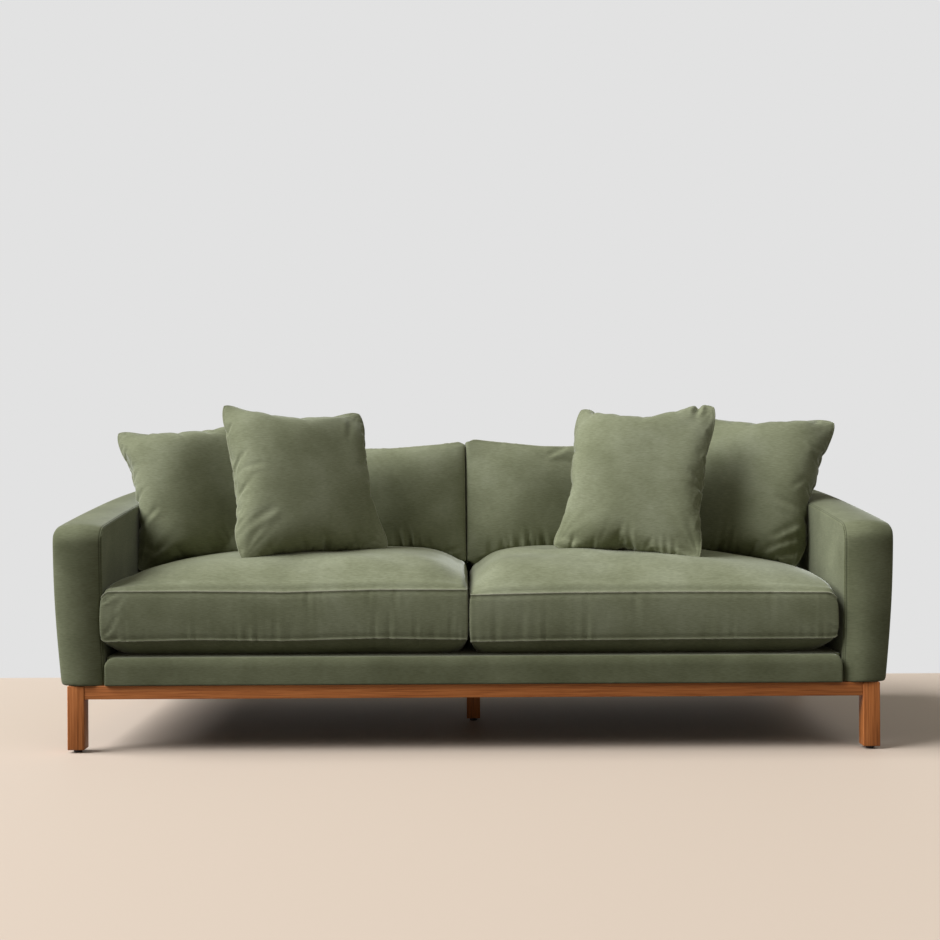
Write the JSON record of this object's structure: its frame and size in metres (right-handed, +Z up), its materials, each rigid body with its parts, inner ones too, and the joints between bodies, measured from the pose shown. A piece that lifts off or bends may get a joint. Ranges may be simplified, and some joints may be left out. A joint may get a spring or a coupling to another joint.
{
  "type": "two-seat sofa",
  "caption": "Velvet sofa with loose seat and back cushions, throw pillows and sloping arms on an open stained hardwood base with square legs.",
  "frame": {"origin": "centre of the footprint, on the floor", "axes": "+Z up, +X along the seat to the right as seen from the front, -Y to the front"},
  "size_m": [2.237, 0.95, 0.9388],
  "materials": {
    "cover_velvet": "matte",
    "cushion_velvet": "matte",
    "base_wood": "satin",
    "frame_timber": "matte",
    "glide_plastic": "satin",
    "bolt_steel": "satin",
    "spring_steel": "satin",
    "lining_cloth": "matte"
  },
  "bodies": {
    "sofa_frame": {"leg_front_left": "base_wood", "leg_front_right": "base_wood", "leg_back_left": "base_wood", "leg_back_right": "base_wood", "leg_centre": "base_wood", "glide_front_left": "glide_plastic", "glide_front_right": "glide_plastic", "glide_back_left": "glide_plastic", "glide_back_right": "glide_plastic", "glide_centre": "glide_plastic", "rail_front": "base_wood", "rail_back": "base_wood", "rail_left": "base_wood", "rail_right": "base_wood", "stretcher_centre": "base_wood", "corner_block_front_left": "frame_timber", "corner_block_front_right": "frame_timber", "corner_block_back_left": "frame_timber", "corner_block_back_right": "frame_timber", "bolt_front_left": "bolt_steel", "bolt_front_right": "bolt_steel", "bolt_back_left": "bolt_steel", "bolt_back_right": "bolt_steel", "seat_frame_front": "frame_timber", "seat_frame_back": "frame_timber", "seat_frame_left": "frame_timber", "seat_frame_right": "frame_timber", "seat_frame_centre": "frame_timber", "bottom_lining": "lining_cloth", "spring_left_1": "spring_steel", "spring_left_2": "spring_steel", "spring_left_3": "spring_steel", "spring_right_1": "spring_steel", "spring_right_2": "spring_steel", "spring_right_3": "spring_steel", "seat_deck": "cover_velvet", "apron_cover": "cover_velvet", "arm_cover_left": "cover_velvet", "arm_cover_right": "cover_velvet", "arm_rail_left": "frame_timber", "arm_rail_right": "frame_timber", "arm_post_front_left": "frame_timber", "arm_post_back_left": "frame_timber", "arm_post_front_right": "frame_timber", "arm_post_back_right": "frame_timber", "back_cover": "cover_velvet", "back_rail_top": "frame_timber", "back_post_left": "frame_timber", "back_post_centre": "frame_timber", "back_post_right": "frame_timber"},
    "seat_left": {"seat_cushion_left": "cushion_velvet"},
    "seat_right": {"seat_cushion_right": "cushion_velvet"},
    "back_left": {"back_cushion_left": "cushion_velvet"},
    "back_right": {"back_cushion_right": "cushion_velvet"},
    "throw_outer_left": {"pillow_outer_left": "cushion_velvet"},
    "throw_inner_left": {"pillow_inner_left": "cushion_velvet"},
    "throw_outer_right": {"pillow_outer_right": "cushion_velvet"},
    "throw_inner_right": {"pillow_inner_right": "cushion_velvet"}
  },
  "joints": [
    {"name": "lift_seat_left", "type": "slide", "parent": "sofa_frame", "child": "seat_left", "axis": [0, 0, 1], "range_m": [0, 0.35]},
    {"name": "lift_seat_right", "type": "slide", "parent": "sofa_frame", "child": "seat_right", "axis": [0, 0, 1], "range_m": [0, 0.35]},
    {"name": "lift_back_left", "type": "slide", "parent": "seat_left", "child": "back_left", "axis": [0, 0, 1], "range_m": [0, 0.3]},
    {"name": "lift_back_right", "type": "slide", "parent": "seat_right", "child": "back_right", "axis": [0, 0, 1], "range_m": [0, 0.3]},
    {"name": "lift_outer_left", "type": "slide", "parent": "back_left", "child": "throw_outer_left", "axis": [0, -0.7071, 0.7071], "range_m": [0, 0.3]},
    {"name": "lift_outer_right", "type": "slide", "parent": "back_right", "child": "throw_outer_right", "axis": [0, -0.7071, 0.7071], "range_m": [0, 0.3]},
    {"name": "lift_inner_left", "type": "slide", "parent": "throw_outer_left", "child": "throw_inner_left", "axis": [0, -0.7071, 0.7071], "range_m": [0, 0.3]},
    {"name": "lift_inner_right", "type": "slide", "parent": "throw_outer_right", "child": "throw_inner_right", "axis": [0, -0.7071, 0.7071], "range_m": [0, 0.3]}
  ]
}
